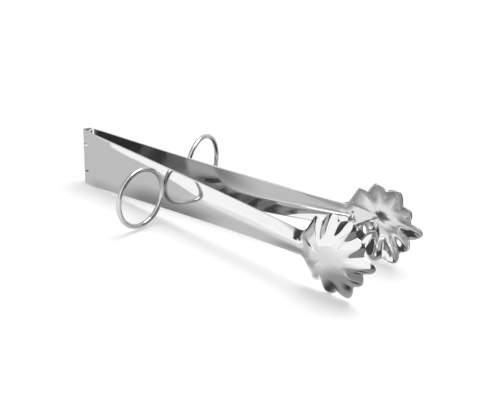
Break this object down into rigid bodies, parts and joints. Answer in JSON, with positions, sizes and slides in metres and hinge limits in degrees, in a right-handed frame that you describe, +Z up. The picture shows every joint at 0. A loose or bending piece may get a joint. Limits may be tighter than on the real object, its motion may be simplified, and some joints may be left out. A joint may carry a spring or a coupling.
{
  "type": "pastry tongs",
  "caption": "Hinged sheet-steel serving tongs with tapering arched arms, scalloped cupped ends and a wire finger ring on each arm.",
  "frame": {"origin": "centre of the hinge pin's foot, level with the bottom of the lower knuckle", "axes": "+X from the hinge toward the shell tips along the middle of the two arms, +Z up the hinge pin; the near arm is on the -Y side"},
  "size_m": [0.1853, 0.0815, 0.0402],
  "materials": {
    "polished_sheet": "mirror-polished stainless steel sheet",
    "polished_wire": "polished stainless steel wire",
    "pin_steel": "plain drawn steel"
  },
  "bodies": {
    "near_half": {"near_arm": "polished_sheet", "hinge_pin": "pin_steel", "near_ring": "polished_wire"},
    "far_half": {"far_arm": "polished_sheet", "far_ring": "polished_wire"}
  },
  "joints": [
    {"name": "arm_hinge", "type": "hinge", "parent": "near_half", "child": "far_half", "pos_m": [0, 0, 0.015], "axis": [0, 0, 1], "range_deg": [-13.1, 60]}
  ]
}
